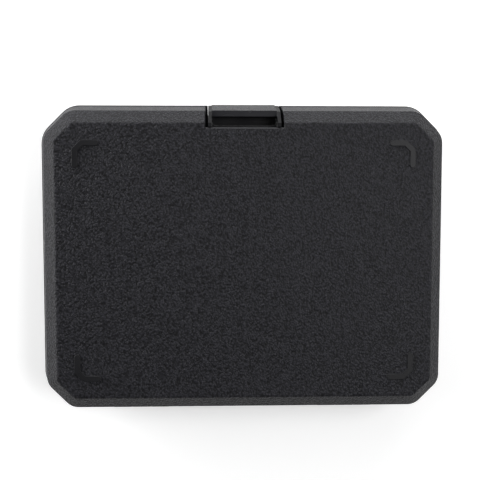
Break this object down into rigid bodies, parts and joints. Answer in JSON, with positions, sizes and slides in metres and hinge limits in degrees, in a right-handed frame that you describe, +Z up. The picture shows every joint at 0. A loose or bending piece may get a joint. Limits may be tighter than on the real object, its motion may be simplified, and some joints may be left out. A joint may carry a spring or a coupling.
{
  "type": "hard carrying case",
  "caption": "Small hard-shell carrying case of moulded plastic with a hinged lid, a snap latch, stacking ribs and pocketed foam.",
  "frame": {"origin": "middle of the case on the plane that its feet stand on", "axes": "+Z up through the lid, +X along the width, the latch at -Y and the hinge at +Y"},
  "size_m": [0.2408, 0.1833, 0.0514],
  "materials": {
    "shell_plastic": "matte",
    "latch_plastic": "satin",
    "pin_steel": "satin",
    "cut_foam": "matte",
    "convoluted_foam": "matte"
  },
  "bodies": {
    "base": {"base_shell": "shell_plastic", "base_foam_pad": "cut_foam", "base_foam_insert": "cut_foam", "latch_pin": "pin_steel", "hinge_pin_left": "pin_steel", "hinge_pin_right": "pin_steel"},
    "lid": {"lid_shell": "shell_plastic", "lid_foam": "convoluted_foam"},
    "latch": {"latch": "latch_plastic"}
  },
  "joints": [
    {"name": "lid_hinge", "type": "hinge", "parent": "base", "child": "lid", "pos_m": [0, 0.0883, 0.0257], "axis": [-1, 0, 0], "range_deg": [0, 180]},
    {"name": "latch_hinge", "type": "hinge", "parent": "base", "child": "latch", "pos_m": [0, -0.0857, 0.0137], "axis": [1, 0, 0], "range_deg": [0, 110]}
  ]
}
